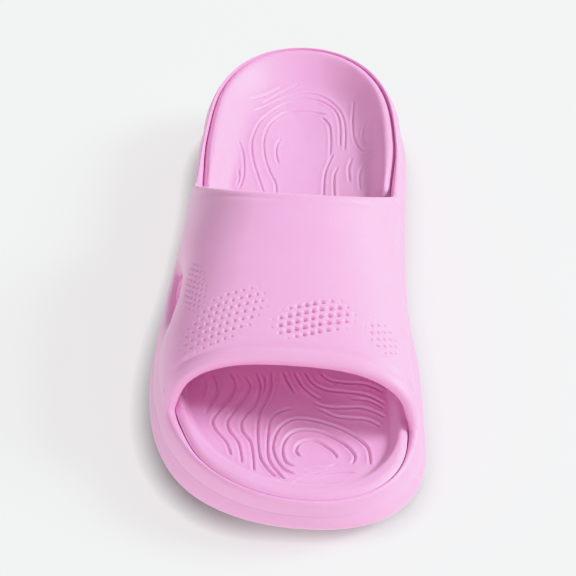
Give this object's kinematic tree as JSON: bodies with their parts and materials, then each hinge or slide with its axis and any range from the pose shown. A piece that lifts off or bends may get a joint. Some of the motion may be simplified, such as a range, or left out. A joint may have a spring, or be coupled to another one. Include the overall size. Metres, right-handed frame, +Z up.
{
  "type": "sport slide sandal",
  "caption": "Moulded foam slide sandal with a wide hollow band over the instep, an open toe, a contoured footbed and a thick lugged sole.",
  "frame": {"origin": "on the floor, under the middle of the shoe's bounding box", "axes": "+Z up, +Y towards the heel and -Y towards the toe, +X towards the inner side of the right foot"},
  "size_m": [0.1054, 0.262, 0.0673],
  "materials": {
    "upper_foam": "matt smooth foam skin",
    "footbed_foam": "matt foam with fine raised contour lines",
    "sole_foam": "matt foam, slightly scuffed under the lugs"
  },
  "bodies": {
    "root": {"upper": "upper_foam", "footbed": "footbed_foam", "sole": "sole_foam"}
  },
  "joints": []
}
